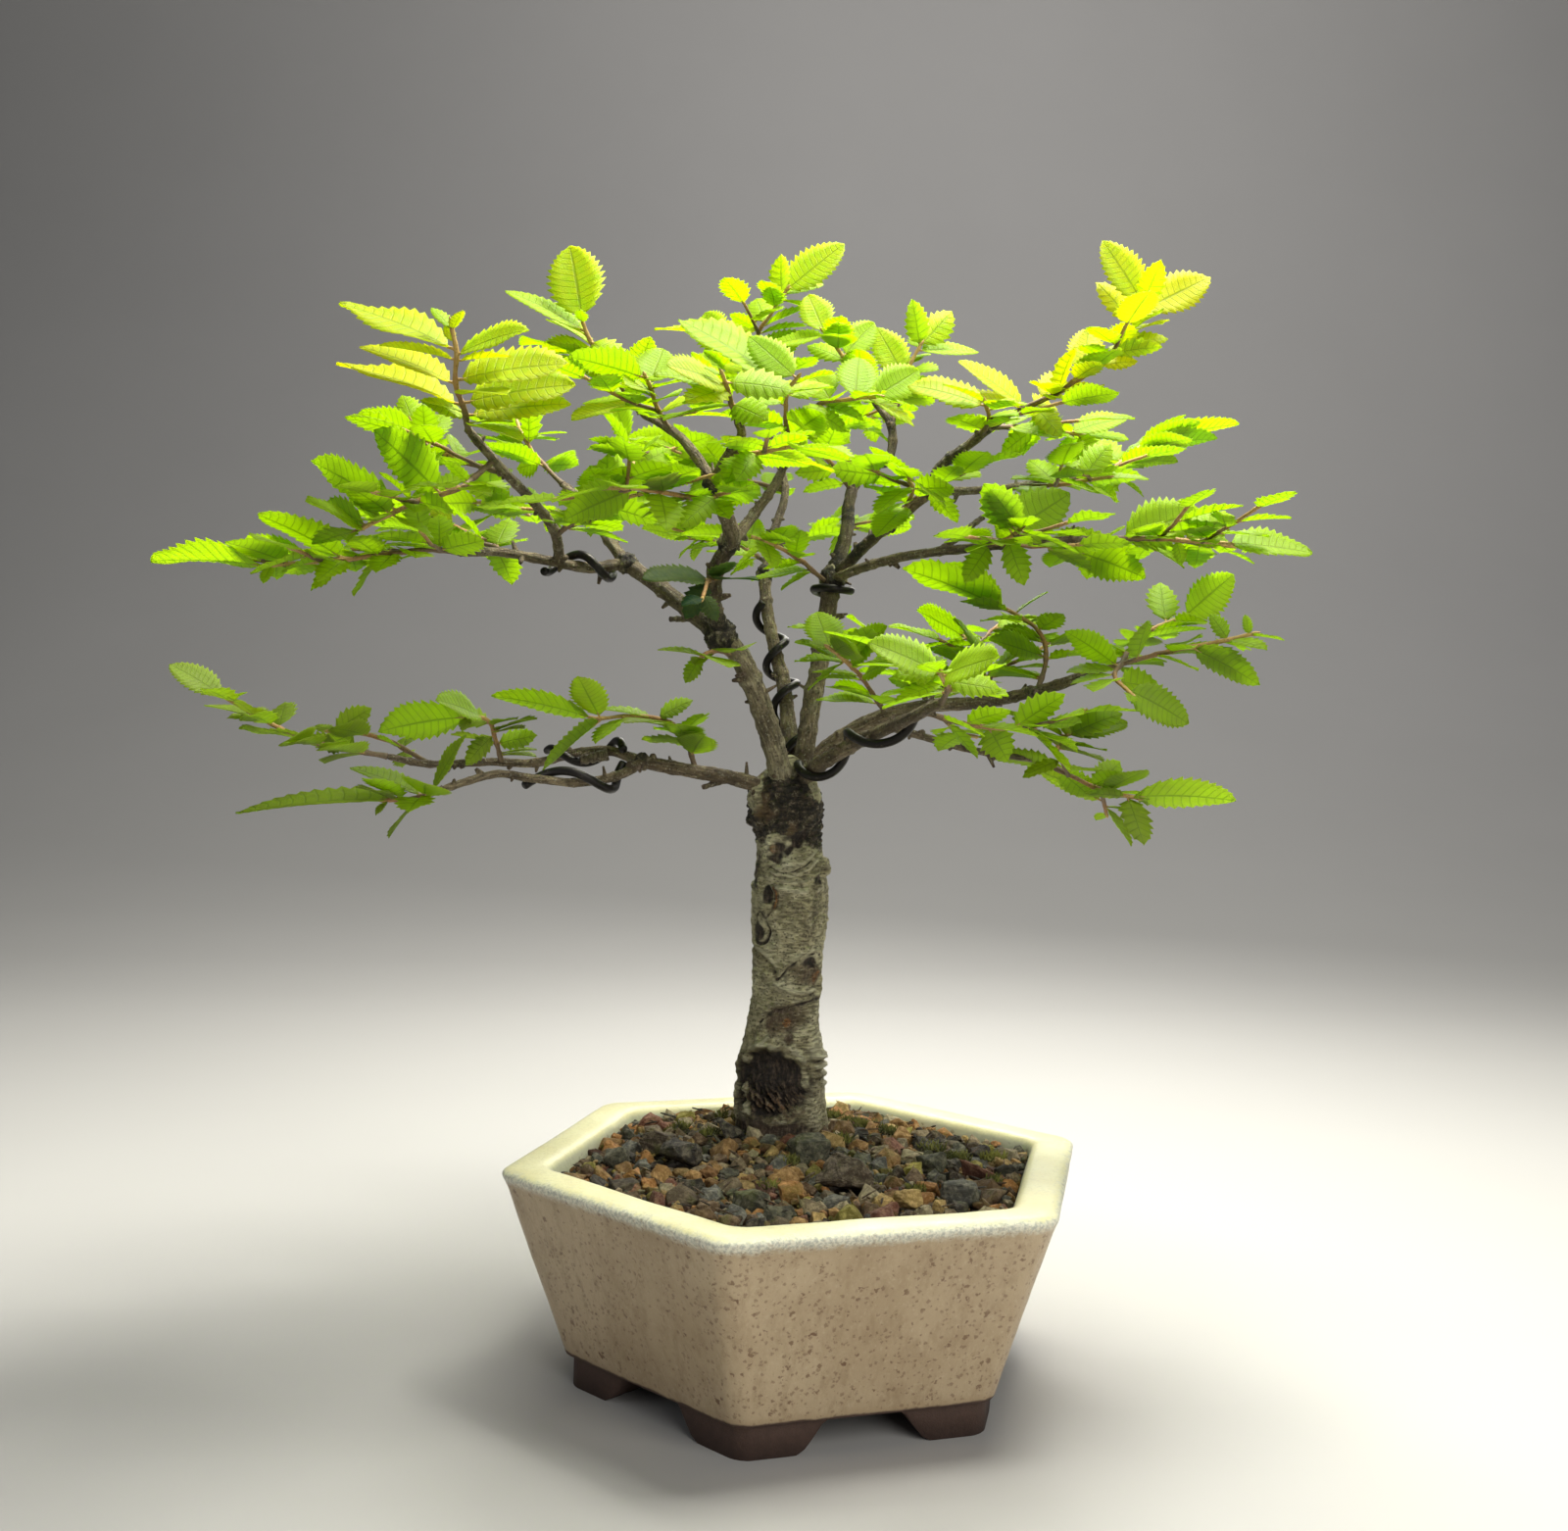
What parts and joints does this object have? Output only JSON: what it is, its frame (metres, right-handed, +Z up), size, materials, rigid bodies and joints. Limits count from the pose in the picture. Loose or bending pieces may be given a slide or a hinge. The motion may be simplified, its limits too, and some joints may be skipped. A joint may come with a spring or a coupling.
{
  "type": "bonsai tree in pot",
  "caption": "Small Chinese elm bonsai with a short thick trunk, spreading wired limbs and toothed leaves, growing in gritty soil in a low six-sided glazed pot on feet.",
  "frame": {"origin": "on the surface that the pot's feet stand on, under the middle of the whole tree's box", "axes": "+Z up along the height, the tree's front faces -Y, +X is to the right of the front view"},
  "size_m": [0.3112, 0.212, 0.3343],
  "materials": {
    "glaze": "glossy cream glaze with fine brown specks, a paler blue-white rim and bare dark red-brown clay on the feet",
    "screen": "matte dark mesh",
    "soil": "rough loose grit in ochre, brown, grey and dark lava with sparse moss",
    "bark": "rough grey-olive bark with black cork plates high on the trunk and red-brown twigs",
    "wire": "black anodised, satin",
    "leaf": "thin translucent leaf, satin above, bright yellow-green with light behind it, darker green low down"
  },
  "bodies": {
    "root": {"drain_screen": "screen", "pot": "glaze", "soil": "soil", "spray_back_high": "leaf", "spray_back_left": "leaf", "spray_back_low_left": "leaf", "spray_back_low_right": "leaf", "spray_back_right": "leaf", "spray_centre_long": "leaf", "spray_centre_top": "leaf", "spray_crown_tip": "leaf", "spray_front_crest": "leaf", "spray_front_side": "leaf", "spray_knuckle_drop": "leaf", "spray_left_back": "leaf", "spray_left_crest": "leaf", "spray_left_high": "leaf", "spray_left_inner": "leaf", "spray_left_low": "leaf", "spray_left_mid": "leaf", "spray_left_near": "leaf", "spray_left_rear": "leaf", "spray_left_shelf": "leaf", "spray_left_tip": "leaf", "spray_left_under": "leaf", "spray_low_left_curl": "leaf", "spray_low_left_fore": "leaf", "spray_low_left_inner": "leaf", "spray_low_left_rise": "leaf", "spray_low_left_tip": "leaf", "spray_low_right_back": "leaf", "spray_low_right_inner": "leaf", "spray_low_right_mid": "leaf", "spray_low_right_near": "leaf", "spray_low_right_rear": "leaf", "spray_low_right_tip": "leaf", "spray_low_right_twig": "leaf", "spray_low_right_under": "leaf", "spray_right_back": "leaf", "spray_right_below": "leaf", "spray_right_crest": "leaf", "spray_right_crest_side": "leaf", "spray_right_flat_tip": "leaf", "spray_right_fore": "leaf", "spray_right_inner": "leaf", "spray_right_middle": "leaf", "spray_right_near": "leaf", "spray_right_rear": "leaf", "spray_right_shoulder": "leaf", "spray_right_side_tip": "leaf", "spray_right_tip": "leaf", "spray_stem_drop": "leaf", "spray_stem_side": "leaf", "trunk_and_limbs": "bark", "wire_back": "wire", "wire_left": "wire", "wire_low_left_back": "wire", "wire_low_left_front": "wire", "wire_low_right": "wire", "wire_right": "wire"}
  },
  "joints": []
}
